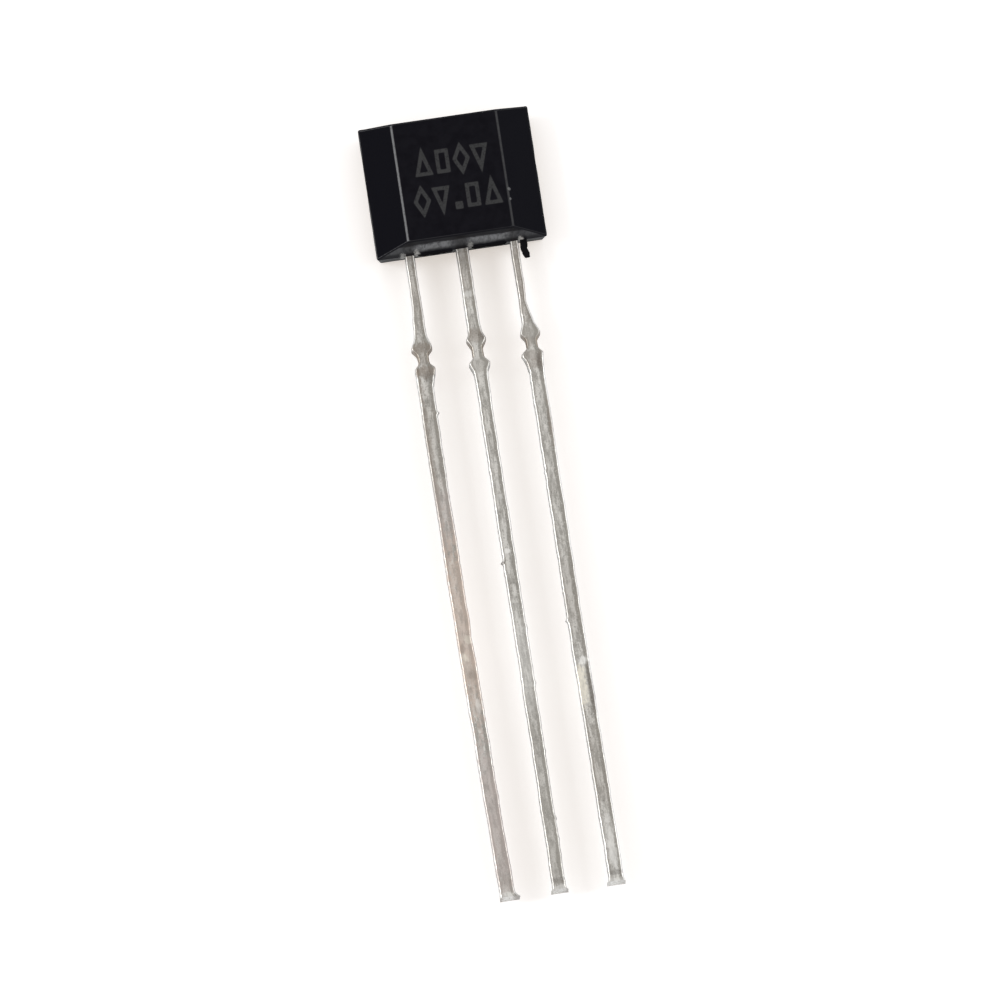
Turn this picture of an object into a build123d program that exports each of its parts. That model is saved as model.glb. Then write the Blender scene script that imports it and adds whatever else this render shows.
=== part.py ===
from build123d import *
import math
import os

# A Hall effect sensor in a flat three-lead package, lying on its back. Millimetres, +Z up.
# X runs across the row of leads, the leads point to -Y, and the marked face looks up.
# The origin is the centre of the flat back face.

# Moulded body. It is widest at the parting plane, where the two halves of the mould met.
BODY_WIDTH = 4.00
BODY_HEIGHT = 3.15
BODY_THICKNESS = 1.52
MARKED_FACE_WIDTH = 2.48
PARTING_Z = 0.76
FRONT_END_DRAFT = 11.0
BACK_END_DRAFT = 7.0
SIDE_DRAFT = 5.0
EDGE_RADIUS = 0.08
EJECTOR_RADIUS = 0.45
EJECTOR_DEPTH = 0.05
EJECTOR_Y = 0.62

# What the mould leaves on the body: the snapped gate, and thin flash where the leads come out
GATE_WIDTH = 1.00
GATE_TIP_WIDTH = 0.86
GATE_THICKNESS = 0.24
GATE_LENGTH = 0.03
FLASH_THICKNESS = 0.05
WEB_LENGTH = 0.07
SLIVER_WIDTH = 0.11
SLIVER_LENGTH = 0.44
SLIVER_GAP = 0.045
SLIVER_KINK = 0.04
FLASH_ROOT = 0.12

# Lead frame, stamped from one strip. Its upper face lies in the parting plane.
STRIP_THICKNESS = 0.38
LEAD_PITCH = 1.27
LEAD_LENGTH = 15.30
MIDDLE_WIDTH = 0.30
TIP_FLARE = 0.055
TIP_LENGTH = 0.16
TIP_EDGE = 0.04

# Edges of an outer lead, from its place in the row. Its inner edge is straight, and its outer
# edge is cut further in next to the body, up to a gentle slope.
INNER_EDGE = 0.15
UPPER_OUTER_EDGE = 0.075
LOWER_OUTER_EDGE = 0.215
SLOPE_OUTER_EDGE = 0.165
SLOPE_START = 1.45

# The dam bar held the leads together until a punch cut it out between them and bit into each.
DAM_DISTANCE = 2.48
DAM_BAND = 0.80
DAM_STUB_WIDTH = 0.47
PUNCH_LENGTH = 0.24
PUNCH_NECK_WIDTH = 0.26
SHEAR_SLOPE = 0.10
SHEAR_RADIUS = 0.05
STUB_RADIUS = 0.025

# Bond posts and die pad, the ends of the leads that are inside the body
POST_WIDTH = 0.76
POST_TOP = 0.55
POST_BOTTOM = -0.85
LOCK_HOLE_RADIUS = 0.17
LOCK_HOLE_Y = -0.40
PAD_WIDTH = 1.24
PAD_TOP = 0.87
PAD_BOTTOM = -0.62
LOCK_EAR_WIDTH = 0.70
LOCK_EAR_TOP = -0.98
LOCK_EAR_BOTTOM = -1.20
SHOULDER = 0.14
FRAME_CORNER = 0.06

# Chip, the layer that glues it down, and the gold wires from it to the frame
DIE_SIZE = 1.00
DIE_THICKNESS = 0.25
DIE_Y = 0.25
ATTACH_MARGIN = 0.06
ATTACH_THICKNESS = 0.02
WIRE_DIAMETER = 0.025
BALL_DIAMETER = 0.075
BALL_TOP_DIAMETER = 0.055
BALL_HEIGHT = 0.022
STITCH_LENGTH = 0.11
STITCH_TAIL_WIDTH = 0.060
STITCH_THICKNESS = 0.012
LOOP_RISE = 0.16
LOOP_FALL = 0.04
LOOP_SHARE = 0.45
BOND_INSET = 0.12
SIDE_BOND_Y = 0.40
POST_STITCH_Y = 0.28
GROUND_STITCH_Y = -0.47

# Worked out from the sizes above
EXIT_Y = -BODY_HEIGHT / 2
FRAME_TOP = PARTING_Z
DIE_BOTTOM = FRAME_TOP + ATTACH_THICKNESS
DIE_TOP = DIE_BOTTOM + DIE_THICKNESS


def mirrored(corners):
    """The same corners on the other side of the centre line."""
    return [(-across, along, radius) for across, along, radius in corners]


def closed_outline(right, left):
    """Closed outline, down the corners of its right edge and back up those of its left edge.

    Each corner is its place across, its place along the centre line, and its radius.
    """
    corners = right + left[::-1]
    places = [(across, along) for across, along, _ in corners]
    radii = [radius for _, _, radius in corners]
    return make_face(FilletPolyline(*places, radius=radii, close=True))


def even_outline(right):
    """Closed outline, the same on both sides of its centre line."""
    return closed_outline(right, mirrored(right))


# ---- moulded body ----


def narrowed(size, height, draft):
    """A size at the parting plane, less what both drafted sides lose over a height."""
    return size - 2 * height * math.tan(math.radians(draft))


def body_form():
    """The body's outside: what a bevelled prism along Y and a drafted prism along X share.
    Every edge but the parting line is rounded."""
    front = BODY_THICKNESS - PARTING_Z
    across = even_outline(
        [
            (MARKED_FACE_WIDTH / 2, BODY_THICKNESS, 0),
            (BODY_WIDTH / 2, PARTING_Z, 0),
            (narrowed(BODY_WIDTH, PARTING_Z, SIDE_DRAFT) / 2, 0, 0),
        ]
    )
    along = even_outline(
        [
            (narrowed(BODY_HEIGHT, front, FRONT_END_DRAFT) / 2, BODY_THICKNESS, 0),
            (BODY_HEIGHT / 2, PARTING_Z, 0),
            (narrowed(BODY_HEIGHT, PARTING_Z, BACK_END_DRAFT) / 2, 0, 0),
        ]
    )
    bevelled = extrude(Plane.XZ * across, BODY_HEIGHT, both=True)
    drafted = extrude(Plane.YZ * along, BODY_WIDTH, both=True)
    form = bevelled & drafted
    parting = form.edges().filter_by_position(Axis.Z, PARTING_Z, PARTING_Z)
    return fillet(form.edges() - parting, EDGE_RADIUS)


def ejector_dimple():
    """The shallow round mark that the ejector pin leaves in the back."""
    return Pos(0, EJECTOR_Y, EJECTOR_DEPTH / 2) * Cylinder(EJECTOR_RADIUS, EJECTOR_DEPTH)


def gate_stub():
    """What is left of the gate after it was snapped off, on the end away from the leads."""
    root_y = BODY_HEIGHT / 2 - FLASH_ROOT
    tip_y = BODY_HEIGHT / 2 + GATE_LENGTH
    outline = even_outline([(GATE_WIDTH / 2, root_y, 0), (GATE_TIP_WIDTH / 2, tip_y, 0)])
    return extrude(Pos(0, 0, PARTING_Z) * outline, -GATE_THICKNESS)


def flash_web(side):
    """The thin skin of compound between two leads, under the parting plane."""
    web = Rectangle(LEAD_PITCH, WEB_LENGTH + FLASH_ROOT, align=(Align.CENTER, Align.MIN))
    return extrude(Pos(side * LEAD_PITCH / 2, EXIT_Y - WEB_LENGTH, PARTING_Z) * web, -FLASH_THICKNESS)


def flash_sliver():
    """A kinked sliver of flash that ran out beside the output lead."""
    near = LEAD_PITCH + UPPER_OUTER_EDGE + SLIVER_GAP
    kink_y = EXIT_Y - SLIVER_LENGTH / 2
    end_y = EXIT_Y - SLIVER_LENGTH
    edge = [(near, EXIT_Y + FLASH_ROOT), (near - SLIVER_KINK / 2, kink_y), (near + SLIVER_KINK, end_y)]
    far_edge = [(x + SLIVER_WIDTH, y) for x, y in reversed(edge)]
    outline = make_face(Polyline(*edge, *far_edge, close=True))
    return extrude(Pos(0, 0, PARTING_Z) * outline, -FLASH_THICKNESS)


def moulded_body(held):
    """The body, cast in one shot round all the pieces that it holds."""
    form = body_form() + gate_stub() + flash_web(-1) + flash_web(1) + flash_sliver()
    form -= ejector_dimple()
    for piece in held:
        form -= piece
    return form


# ---- lead frame ----


def edge_at_band(upper):
    """Corners of a lead's edge past the dam bar: where it starts to widen from the upper stretch,
    and the two stubs with the punched neck between them."""
    band_start = EXIT_Y - DAM_DISTANCE + DAM_BAND / 2
    neck_start = EXIT_Y - DAM_DISTANCE + PUNCH_LENGTH / 2
    neck_end = neck_start - PUNCH_LENGTH
    return [
        (upper, band_start + SHEAR_SLOPE, STUB_RADIUS),
        (DAM_STUB_WIDTH / 2, band_start, STUB_RADIUS),
        (DAM_STUB_WIDTH / 2, neck_start + SHEAR_SLOPE, STUB_RADIUS),
        (PUNCH_NECK_WIDTH / 2, neck_start, SHEAR_RADIUS),
        (PUNCH_NECK_WIDTH / 2, neck_end, SHEAR_RADIUS),
        (DAM_STUB_WIDTH / 2, neck_end - SHEAR_SLOPE, STUB_RADIUS),
        (DAM_STUB_WIDTH / 2, band_start - DAM_BAND, STUB_RADIUS),
    ]


def edge_to_tip(lower):
    """Corners of a lead's edge below the dam bar, down to the flared tip."""
    band_end = EXIT_Y - DAM_DISTANCE - DAM_BAND / 2
    tip_y = EXIT_Y - LEAD_LENGTH
    return [
        (lower, band_end - SHEAR_SLOPE, SHEAR_RADIUS),
        (lower, tip_y + TIP_LENGTH, SHEAR_RADIUS),
        (lower + TIP_FLARE, tip_y + TIP_EDGE, 0),
        (lower + TIP_FLARE, tip_y, 0),
    ]


def stamped(outline, centre_x):
    """A piece of the strip, punched to an outline and standing at its place in the row."""
    return extrude(Pos(centre_x, 0, FRAME_TOP) * outline, -STRIP_THICKNESS)


def post_edge(upper):
    """Corners of an outer lead's edge inside the body: the bond post, down to the lead."""
    return [
        (POST_WIDTH / 2, POST_TOP, FRAME_CORNER),
        (POST_WIDTH / 2, POST_BOTTOM, FRAME_CORNER),
        (upper, POST_BOTTOM - SHOULDER, FRAME_CORNER),
    ]


def post_lead(side):
    """An outer lead. Inside the body it widens to a bond post, locked by a hole."""
    slope = [(UPPER_OUTER_EDGE, EXIT_Y - SLOPE_START, SHEAR_RADIUS)]
    outer = post_edge(UPPER_OUTER_EDGE) + slope + edge_at_band(SLOPE_OUTER_EDGE)
    outer += edge_to_tip(LOWER_OUTER_EDGE)
    inner = post_edge(INNER_EDGE) + edge_at_band(INNER_EDGE) + edge_to_tip(INNER_EDGE)
    right, left = (outer, inner) if side > 0 else (inner, outer)
    middle = Pos(side * LEAD_PITCH, LOCK_HOLE_Y, FRAME_TOP - STRIP_THICKNESS / 2)
    hole = middle * Cylinder(LOCK_HOLE_RADIUS, 2 * STRIP_THICKNESS)
    return stamped(closed_outline(right, mirrored(left)), side * LEAD_PITCH) - hole


def pad_lead():
    """The middle lead. It carries the die pad, and two ears lock it in the body."""
    half = MIDDLE_WIDTH / 2
    pad = [
        (PAD_WIDTH / 2, PAD_TOP, FRAME_CORNER),
        (PAD_WIDTH / 2, PAD_BOTTOM, FRAME_CORNER),
        (half, PAD_BOTTOM - SHOULDER, FRAME_CORNER),
        (half, LOCK_EAR_TOP, STUB_RADIUS),
        (LOCK_EAR_WIDTH / 2, LOCK_EAR_TOP, STUB_RADIUS),
        (LOCK_EAR_WIDTH / 2, LOCK_EAR_BOTTOM, STUB_RADIUS),
        (half, LOCK_EAR_BOTTOM, STUB_RADIUS),
    ]
    return stamped(even_outline(pad + edge_at_band(half) + edge_to_tip(half)), 0)


# ---- chip and bond wires ----


def die_attach():
    """The cured silver epoxy, squeezed out a little past the chip's edges."""
    size = DIE_SIZE + 2 * ATTACH_MARGIN
    layer = RectangleRounded(size, size, 2 * ATTACH_MARGIN)
    return extrude(Pos(0, DIE_Y, FRAME_TOP) * layer, ATTACH_THICKNESS)


def sensor_die():
    """The silicon chip. The Hall plate is in its upper face."""
    return extrude(Pos(0, DIE_Y, DIE_BOTTOM) * Rectangle(DIE_SIZE, DIE_SIZE), DIE_THICKNESS)


def bond_wire(start, end):
    """A gold wire: a squashed ball on the chip, a kinked loop, and a fishtail stitch on the frame.

    Both ends are places in plan. The loop rises from the ball, leans over to a crest and comes
    down to the stitch, where the frame's face cuts it off.
    """
    ball = Cone(BALL_DIAMETER / 2, BALL_TOP_DIAMETER / 2, BALL_HEIGHT)
    foot = Vector(start[0], start[1], DIE_TOP + BALL_HEIGHT / 2)
    shoulder = Vector(start[0], start[1], DIE_TOP + LOOP_RISE)
    over = Vector(end[0] - start[0], end[1] - start[1], 0)
    crest = shoulder + over * LOOP_SHARE - Vector(0, 0, LOOP_FALL)
    landing = Vector(end[0], end[1], FRAME_TOP - WIRE_DIAMETER)
    path = Polyline(foot, shoulder, crest, landing)
    section = Plane(origin=path @ 0, z_dir=path % 0) * Circle(WIRE_DIAMETER / 2)
    loop = sweep(section, path=path, transition=Transition.RIGHT)
    loop = split(loop, bisect_by=Plane.XY.offset(FRAME_TOP), keep=Keep.TOP)
    fishtail = even_outline(
        [(STITCH_TAIL_WIDTH / 2, -STITCH_LENGTH / 2, 0), (WIRE_DIAMETER / 2, STITCH_LENGTH / 2, 0)]
    )
    heading = math.degrees(math.atan2(over.X, -over.Y))
    stitch = extrude(Location((end[0], end[1], FRAME_TOP), (0, 0, heading)) * fishtail, STITCH_THICKNESS)
    return Pos(foot.X, foot.Y, foot.Z) * ball + loop + stitch


def side_wire(side):
    """From the chip's side edge across to the bond post of an outer lead."""
    bond_x = side * (DIE_SIZE / 2 - BOND_INSET)
    return bond_wire((bond_x, SIDE_BOND_Y), (side * LEAD_PITCH, POST_STITCH_Y))


def ground_wire():
    """From the chip's lower edge down to the die pad that it stands on."""
    return bond_wire((0, DIE_Y - DIE_SIZE / 2 + BOND_INSET), (0, GROUND_STITCH_Y))


# ---- assembly ----

held_pieces = {
    "lead_supply": post_lead(-1),
    "lead_ground": pad_lead(),
    "lead_output": post_lead(1),
    "die_attach": die_attach(),
    "sensor_die": sensor_die(),
    "bond_wire_supply": side_wire(-1),
    "bond_wire_ground": ground_wire(),
    "bond_wire_output": side_wire(1),
}
pieces = {"body": moulded_body(held_pieces.values()), **held_pieces}

os.makedirs("parts", exist_ok=True)
for name, piece in pieces.items():
    piece.label = name
    export_step(piece, f"parts/{name}.step")
    print(name, len(piece.solids()), round(piece.volume, 4))
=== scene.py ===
import math

import bpy
import numpy as np
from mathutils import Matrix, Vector


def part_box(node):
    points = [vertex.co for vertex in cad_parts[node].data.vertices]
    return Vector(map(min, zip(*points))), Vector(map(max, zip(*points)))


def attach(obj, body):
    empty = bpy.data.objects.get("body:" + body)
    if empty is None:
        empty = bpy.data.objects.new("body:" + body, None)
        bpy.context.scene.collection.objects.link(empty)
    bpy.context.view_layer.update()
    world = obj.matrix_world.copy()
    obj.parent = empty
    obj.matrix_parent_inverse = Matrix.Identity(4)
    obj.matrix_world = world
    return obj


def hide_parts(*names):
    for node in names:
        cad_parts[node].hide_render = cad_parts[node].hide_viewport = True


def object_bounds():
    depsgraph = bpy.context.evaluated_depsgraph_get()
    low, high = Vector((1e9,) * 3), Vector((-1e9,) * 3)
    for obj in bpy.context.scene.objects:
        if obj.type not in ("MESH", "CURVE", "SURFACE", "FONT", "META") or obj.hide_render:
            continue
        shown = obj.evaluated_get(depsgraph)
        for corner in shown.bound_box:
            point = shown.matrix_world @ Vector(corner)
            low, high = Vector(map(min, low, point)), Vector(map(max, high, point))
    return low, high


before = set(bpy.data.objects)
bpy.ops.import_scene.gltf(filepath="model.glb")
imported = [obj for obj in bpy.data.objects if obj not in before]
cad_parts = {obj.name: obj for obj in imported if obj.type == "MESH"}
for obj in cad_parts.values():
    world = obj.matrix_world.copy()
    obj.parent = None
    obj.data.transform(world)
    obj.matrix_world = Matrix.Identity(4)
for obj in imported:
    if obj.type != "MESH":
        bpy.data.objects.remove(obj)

cad_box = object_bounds()

# ---- Moulded body ----
# A block of black epoxy, filled with silica and transfer moulded in one shot round the lead
# frame. The two mould halves met at its widest level. It keeps what the mould left on it: fine
# rounded edges, a snapped gate, a round pin mark in the back and thin flash between the leads.

MM = 0.001  # sizes are in millimetres until a mesh is stored
body_high = np.array(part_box("body")[1]) / MM
strip_low, strip_high = (np.array(corner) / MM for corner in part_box("lead_ground"))
parting = strip_high[2]
body_top = body_high[2]
half_across = body_high[0]
half_along = 1.575
bevel_slope, front_end_slope, back_end_slope, back_side_slope = 45.0, 11.0, 7.0, 5.0
edge_radius, end_edge_radius = 0.10, 0.045
corner_radius = 0.045
crowding = 1.45  # radians: how much the points of a side crowd to its ends
ridge_height, ridge_width = 0.007, 0.010
pin_mark_at, pin_mark_radius = (0.0, 0.62), 0.45
# rings of the pin mark, radius and depth: its wall, and turning marks on its floor
pin_mark_steps = [(0.47, 0.0), (0.455, 0.002), (0.445, 0.046), (0.43, 0.050), (0.40, 0.0515),
                  (0.36, 0.049), (0.30, 0.0515), (0.24, 0.049), (0.18, 0.0515), (0.12, 0.049),
                  (0.06, 0.0512), (0.01, 0.050)]
gate_half, gate_tip_half, gate_thickness, gate_length = 0.50, 0.43, 0.24, 0.03
flash_root = 0.12  # how far flash and gate reach into the body
web_reach, web_thickness = 0.055, 0.05
sliver_thickness = 0.045
# the sliver's centre line, as its place across and its distance along, and its half widths
sliver_centre = [(1.440, 0.12), (1.440, -0.12), (1.425, -0.22), (1.455, -0.31), (1.475, -0.44)]
sliver_half = [0.084, 0.088, 0.076, 0.082, 0.068]


def shell(rings, left_out=None):
    """A closed surface through rings of points: quads between each ring and the next, and a flat
    end on the first and the last. The sum of the quads' triple products about their middle is
    negative when the faces point inwards, and then each ring is taken the other way round."""
    rings = np.asarray(rings, float)
    middle = rings.mean(axis=(0, 1))

    def swept(points):
        a, b = points[:-1] - middle, np.roll(points, -1, axis=1)[:-1] - middle
        c, d = np.roll(points, -1, axis=1)[1:] - middle, points[1:] - middle
        return np.sum(a * np.cross(b, c)) + np.sum(a * np.cross(c, d))

    count, around, _ = rings.shape
    first = np.arange(count * around).reshape(count, around)
    following = np.roll(first, -1, axis=1)
    quads = np.stack([first[:-1], following[:-1], following[1:], first[1:]], axis=-1)
    keep = np.ones(quads.shape[:2], bool) if left_out is None else ~left_out
    faces = quads[keep].tolist() + [first[0][::-1].tolist(), first[-1].tolist()]
    if swept(rings) < 0:
        faces = [face[::-1] for face in faces]
    return rings.reshape(-1, 3), faces


def make_piece(name, shells, **marks):
    """One object out of closed shells, shaded smooth but for edges sharper than 32 degrees.
    marks are values per vertex that the materials read."""
    points = np.concatenate([points for points, _ in shells])
    starts = np.cumsum([0] + [len(points) for points, _ in shells])
    faces = [[i + start for i in face]
             for (_, faces), start in zip(shells, starts) for face in faces]
    mesh = bpy.data.meshes.new(name)
    mesh.from_pydata((points * MM).tolist(), [], faces)
    for label, values in marks.items():
        layer = mesh.attributes.new(label, "FLOAT", "POINT")
        layer.data.foreach_set("value", np.asarray(values, np.float32).ravel())
    mesh.polygons.foreach_set("use_smooth", np.ones(len(mesh.polygons), bool))
    mesh.set_sharp_from_angle(angle=math.radians(32))
    mesh.update()
    piece = bpy.data.objects.new(name, mesh)
    bpy.context.scene.collection.objects.link(piece)
    return piece


def wander(along, step, size, rng):
    """A wandering line: random values at even steps, joined by straight runs."""
    knots = np.arange(along.min() - step, along.max() + 2 * step, step)
    return np.interp(along, knots, rng.normal(0, size, knots.size))


def rubble(points, scale, size, rng):
    """A rough surface: a sum of sine waves in random directions, each finer wave lower."""
    total = np.zeros(points.shape[:-1])
    for octave in range(1, 6):
        direction = rng.normal(0, 1, points.shape[-1])
        direction *= 2 * math.pi * octave / scale / np.linalg.norm(direction)
        total += np.sin(points @ direction + rng.uniform(0, 2 * math.pi)) / octave
    return size * total


def half_at(height, rise, reach, slope, radius):
    """Half size of one mould half at a height above the parting plane. From its reach at the
    parting plane the side leans in by slope, up to an arc that is tangent to the side and to the
    flat face at rise: reach - height tan(slope), then centre + radius sin(turn), where
    cos(turn) = 1 - (rise - height) / radius."""
    lean = math.radians(slope)
    turn = np.arccos(np.clip(1 - (rise - height) / radius, 0, 1))
    centre = reach - (radius + math.sin(lean) * (rise - radius)) / math.cos(lean)
    straight = reach - height * math.tan(lean)
    return np.where(turn < math.pi / 2 - lean, centre + radius * np.sin(turn), straight)


def rounded_rectangle(half_x, half_y, radius, per_side=26, per_corner=7):
    """Points round a rectangle with round corners, one ring per pair of half sizes. Each side
    is x = u (half - radius), with u crowded to its ends, and each corner is a quarter circle."""
    u = np.linspace(-1, 1, per_side)
    u = np.sin(u * crowding) / math.sin(crowding)
    turn = np.radians(np.linspace(0, 90, per_corner + 2)[1:-1])
    one, held = np.ones_like(u), np.ones_like(turn)
    ux = np.concatenate([one, held, -u, -held, -one, -held, u, held])
    uy = np.concatenate([u, held, one, held, -u, -held, -one, -held])
    angle = np.concatenate([part + quarter * math.pi / 2
                            for quarter in range(4) for part in (0 * u, turn)])
    half_x, half_y = np.reshape(half_x, (-1, 1)), np.reshape(half_y, (-1, 1))
    x = ux * (half_x - radius) + radius * np.cos(angle)
    y = uy * (half_y - radius) + radius * np.sin(angle)
    return np.stack([x, y], axis=-1)


def body_rings(rng):
    """Level rings from the middle of the marked face, over its rounded edges, down the bevelled
    and drafted sides, over the ridge at the parting plane, round the back's edges, and in over
    the back to the pin mark and its middle."""
    turn = np.radians(np.linspace(0, 90, 15))
    front_rise, back_rise = body_top - parting, parting
    near = np.array([0.045, 0.025, ridge_width, ridge_width / 2])

    def levels(rise):
        side = np.linspace(rise - edge_radius, near[0], 9)[1:-1]
        return np.concatenate([rise - edge_radius * (1 - np.cos(turn)), side, near])

    front, back = levels(front_rise), levels(back_rise)[::-1]
    a = np.concatenate([half_at(front, front_rise, half_across, bevel_slope, edge_radius),
                        half_at(back, back_rise, half_across, back_side_slope, end_edge_radius)])
    b = np.concatenate([half_at(front, front_rise, half_along, front_end_slope, end_edge_radius),
                        half_at(back, back_rise, half_along, back_end_slope, end_edge_radius)])
    z = np.concatenate([parting + front, parting - back])
    plan = rounded_rectangle(a, b, corner_radius)
    rings = np.dstack([plan, np.broadcast_to(z[:, None], plan.shape[:2])])
    ridge = np.abs(rings[..., 2] - parting) < 0.6 * ridge_width
    outward = rings[..., :2] / np.linalg.norm(rings[..., :2], axis=-1, keepdims=True)
    along_ring = np.linspace(0, 15, rings.shape[1])
    height = ridge_height * np.clip(1 + wander(along_ring, 0.2, 0.45, rng), 0.2, 2)
    rings[..., :2] += (ridge * height)[..., None] * outward

    def drawn_in(ring, middle, shares, level):
        """Copies of a ring, drawn towards a middle by each share."""
        shares = shares[:, None, None]
        moved = ring[None, :, :2] * (1 - shares) + shares * middle
        return np.dstack([moved, np.full(moved.shape[:2], level)])

    face = drawn_in(rings[0], np.zeros(2), np.array([0.98, 0.75, 0.5, 0.25, 0.02]), body_top)
    middle = np.array(pin_mark_at)
    ray = rings[-1, :, :2] - middle
    ray /= np.linalg.norm(ray, axis=-1, keepdims=True)
    rim = middle + ray * (pin_mark_radius + 0.02)
    back_face = drawn_in(rings[-1], rim, np.array([0.02, 0.3, 0.7]), 0.0)
    radius, depth = np.array(pin_mark_steps).T
    pin_mark = np.dstack([middle + ray[None] * radius[:, None, None],
                          np.broadcast_to(depth[:, None], (len(depth), len(ray)))])
    return np.concatenate([face, rings, back_face, pin_mark])


def gate_rings(rng):
    """The snapped gate: a flat tongue carried along Y from inside the body, its end broken
    rough, so the last rings are drawn in over a surface of rubble."""
    y = np.array([-flash_root, 0.0, 0.35 * gate_length, gate_length - 0.010, gate_length - 0.003,
                  gate_length])
    half_x = np.interp(y, [0, gate_length], [gate_half, gate_tip_half])
    half_z = np.full_like(y, gate_thickness / 2 - 0.004)
    half_z[-1] -= 0.008
    plan = rounded_rectangle(half_x, half_z, 0.02, per_side=22, per_corner=3)
    x, z = plan[..., 0], plan[..., 1] + parting - gate_thickness / 2
    rings = np.stack([x, np.broadcast_to((half_along + y)[:, None], x.shape), z], axis=-1)
    middle = np.array([0, 0, parting - gate_thickness / 2])
    share = np.array([0.12, 0.3, 0.5, 0.7, 0.85, 0.95])[:, None, None]
    cap = rings[-1][None] * (1 - share) + share * middle
    cap[..., 1] = rings[-1, 0, 1]
    rings = np.concatenate([rings, cap])
    broken = np.clip((rings[..., 1] - half_along - 0.3 * gate_length) / (0.6 * gate_length), 0, 1)
    rings[..., 1] += broken * rubble(rings[..., [0, 2]], 0.22, 0.007, rng)
    rings[..., 0] += broken * rubble(rings[..., [1, 2]], 0.15, 0.004, rng)
    return rings


def web_rings(x_from, x_to, rng):
    """The skin of flash between two leads, carried along X. Its section is a flat wedge from
    inside the body to a ragged front edge, a third as thick there as at its root."""
    x = np.linspace(x_from, x_to, 70)
    near_end = np.minimum(x - x_from, x_to - x)
    reach = web_reach + wander(x, 0.09, 0.008, rng) + wander(x, 0.025, 0.004, rng)
    reach = reach * np.clip(near_end / 0.05, 0.02, 1) ** 0.5
    share = np.array([0.0, 0.5, 0.8, 0.93, 1.0, 0.93, 0.8, 0.5, 0.0])
    upper = np.array([0.5, 0.5, 0.46, 0.36, 0.0, -0.30, -0.42, -0.5, -0.5])
    front = -half_along - reach[:, None] * share
    y = np.where(share == 0, -half_along + flash_root, front)
    x = np.broadcast_to(x[:, None], y.shape)
    z = np.broadcast_to(parting - web_thickness / 2 + web_thickness * upper, y.shape)
    z = z + rubble(np.stack([x, y], -1), 0.3, 0.002, rng)
    return np.stack([x, y, np.minimum(z, parting)], axis=-1)


def sliver_rings(rng):
    """The kinked sliver of flash beside the output lead: a flat oval, with the cosine raised to
    the power 0.5 across and the sine to 0.7 in height, carried along its centre line from inside
    the body, and torn off at the end."""
    knots = np.array(sliver_centre)
    s = np.linspace(0, 1, 60)
    keys = np.linspace(0, 1, len(knots))
    x, y = np.interp(s, keys, knots[:, 0]), np.interp(s, keys, knots[:, 1]) - half_along
    half = np.interp(s, keys, sliver_half) + wander(s, 0.05, 0.004, rng)
    half *= np.clip((1.03 - s) / 0.06, 0.25, 1)
    angle = np.linspace(0, 2 * math.pi, 25)[:-1]
    wide = np.sign(np.cos(angle)) * np.abs(np.cos(angle)) ** 0.5
    tall = np.sign(np.sin(angle)) * np.abs(np.sin(angle)) ** 0.7
    x = x[:, None] + half[:, None] * wide
    z = parting - sliver_thickness * (0.5 - 0.5 * tall)
    rings = np.stack(np.broadcast_arrays(x, y[:, None], z), axis=-1)
    rings[..., 1] += (s > 0.9)[:, None] * wander(wide, 0.3, 0.008, rng)
    return rings


def turned_away(points, faces):
    """How much each vertex is lightened: 0 on the body's flat faces, and on its rounded
    edges most on the left long edge of the marked face, less on the right one, least elsewhere.
    This stands partly for rubbing by handling and partly for a painted highlight, stronger on the
    left edge. An edge is where the surface has turned away from every flat face."""
    quads = np.array([face for face in faces if len(face) == 4])
    corners = points[quads]
    normal = np.cross(corners[:, 2] - corners[:, 0], corners[:, 3] - corners[:, 1])
    vertex = np.zeros_like(points)
    np.add.at(vertex, quads.ravel(), np.repeat(normal, 4, axis=0))
    vertex /= np.maximum(np.linalg.norm(vertex, axis=1, keepdims=True), 1e-12)
    slopes = np.radians([90, -90, bevel_slope, -back_side_slope, front_end_slope, -back_end_slope])
    across, up = np.cos(slopes), np.sin(slopes)
    flats = [(side * (i < 4) * across[i], side * (i > 3) * across[i], up[i])
             for i in range(6) for side in (-1, 1)]
    closest = (vertex @ np.array(flats).T).max(axis=1)
    turned = np.clip((0.9985 - closest) / 0.008, 0, 1)
    long_edge = np.clip((0.22 - np.abs(vertex[:, 1])) / 0.1, 0, 1) * (vertex[:, 2] > 0.3)
    return turned * np.where(points[:, 0] < 0, 0.05 + 0.95 * long_edge, 0.05 + 0.45 * long_edge)


rng = np.random.default_rng(11)
block = shell(body_rings(rng))
webs = [shell(web_rings(-1.05, -0.22, rng)), shell(web_rings(0.22, 1.05, rng))]
shells = [block, shell(gate_rings(rng)), shell(sliver_rings(rng))] + webs
counts = [len(points) for points, _ in shells]
# On the block's rounded edges: rubbing, and a painted highlight strongest on the left long edge
arris = np.concatenate([turned_away(*block), np.zeros(sum(counts[1:]))])
kind = np.repeat([0, 1, 2, 2, 2], counts)  # the block, the gate, and flash
moulded_body = make_piece("moulded_body", shells, arris=arris, flash=kind == 2, snapped=kind == 1)


def add(kind, inputs, tree=None, **settings):
    """A new shader node with its settings, and its inputs each filled or linked. It stands in the
    tree of what it's linked to."""
    linked = [label for label in inputs if isinstance(inputs[label], bpy.types.NodeSocket)]
    if linked:
        tree = inputs[linked[0]].id_data
    made = tree.nodes.new("ShaderNode" + kind)
    for label, value in settings.items():
        setattr(made, label, value)
    for label, value in inputs.items():
        if label in linked:
            tree.links.new(value, made.inputs[label])
        else:
            made.inputs[label].default_value = value
    return made


def maths(operation, a, b=0.0, c=0.0):
    """One sum on numbers."""
    return add("Math", {0: a, 1: b, 2: c}, operation=operation).outputs[0]


def times(a, b):
    """Two numbers multiplied."""
    return maths("MULTIPLY", a, b)


def times_plus(a, b, c):
    """Two numbers multiplied, and a third added."""
    return maths("MULTIPLY_ADD", a, b, c)


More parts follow.
